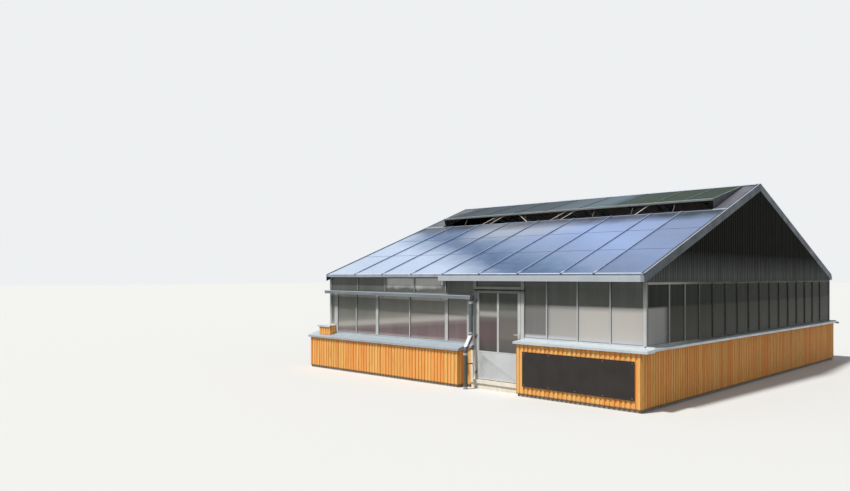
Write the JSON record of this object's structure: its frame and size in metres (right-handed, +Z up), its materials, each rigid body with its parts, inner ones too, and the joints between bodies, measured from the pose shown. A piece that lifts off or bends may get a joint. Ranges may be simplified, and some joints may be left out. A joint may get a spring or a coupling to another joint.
{
  "type": "glass greenhouse",
  "caption": "Gabled glass greenhouse on a larch-clad masonry plinth, with sheet caps, an open ridge vent, gutters, a hinged front door and a bare sign panel.",
  "frame": {"origin": "on the ground under the middle of the ridge", "axes": "+X to the right along the front, -Y out of the front, +Z up"},
  "size_m": [9.693, 11.7328, 4.5465],
  "materials": {
    "masonry": "rendered masonry",
    "floor_concrete": "floated concrete",
    "larch_boards": "oiled larch boards",
    "sheet_cap": "folded galvanised sheet",
    "wall_profile": "mill-finish profile",
    "wall_glazing": "translucent twin-wall sheet",
    "dark_boarding": "dark ribbed boarding",
    "steelwork": "galvanised steel",
    "roof_profile": "mill-finish profile",
    "roof_glass": "clear glass",
    "verge_sheet": "grey coated sheet",
    "gutter_zinc": "galvanised sheet",
    "door_profile": "mill-finish profile",
    "door_sheet": "pressed aluminium sheet",
    "door_glass": "clear sheet",
    "hinge_steel": "zinc plated",
    "handle_metal": "satin",
    "cream_kerb": "cream painted",
    "sign_board": "anthracite matt"
  },
  "bodies": {
    "root": {"cap_back": "sheet_cap", "cap_front_left": "sheet_cap", "cap_front_right": "sheet_cap", "cap_sides": "sheet_cap", "cladding_back": "larch_boards", "cladding_front_left": "larch_boards", "cladding_front_right": "larch_boards", "cladding_sides": "larch_boards", "door_head": "door_profile", "door_hinge_pins": "hinge_steel", "door_jamb": "cream_kerb", "door_posts": "door_profile", "door_threshold": "cream_kerb", "downpipes": "gutter_zinc", "eave_beams": "steelwork", "floor_slab": "floor_concrete", "gable_boarding": "dark_boarding", "glazing_back": "wall_glazing", "glazing_front": "wall_glazing", "glazing_gables": "wall_glazing", "lower_gutter": "gutter_zinc", "main_gutters": "gutter_zinc", "plinth_back": "masonry", "plinth_front_left": "masonry", "plinth_front_right": "masonry", "plinth_left": "masonry", "plinth_right": "masonry", "portal_posts": "steelwork", "purlins": "steelwork", "rafters": "steelwork", "ridge_beam": "steelwork", "ridge_cap": "roof_profile", "roof_bars": "roof_profile", "roof_glazing": "roof_glass", "sign_panel": "sign_board", "vent_end_panels": "roof_profile", "vent_flap_frames": "roof_profile", "vent_flap_panes": "roof_glass", "vent_props": "steelwork", "verge_trims": "verge_sheet", "wall_frame_back": "wall_profile", "wall_frame_front_left": "wall_profile", "wall_frame_front_right": "wall_profile", "wall_frames_gable": "wall_profile"},
    "door_leaf": {"door_leaf_frame": "door_profile", "door_glazing": "door_glass", "door_kick_panel": "door_sheet", "door_handle": "handle_metal", "door_hinges": "hinge_steel"}
  },
  "joints": [
    {"name": "door_swing", "type": "hinge", "parent": "root", "child": "door_leaf", "pos_m": [0.571, -5.524, 0.208], "axis": [0, 0, -1], "range_deg": [0, 90]}
  ]
}
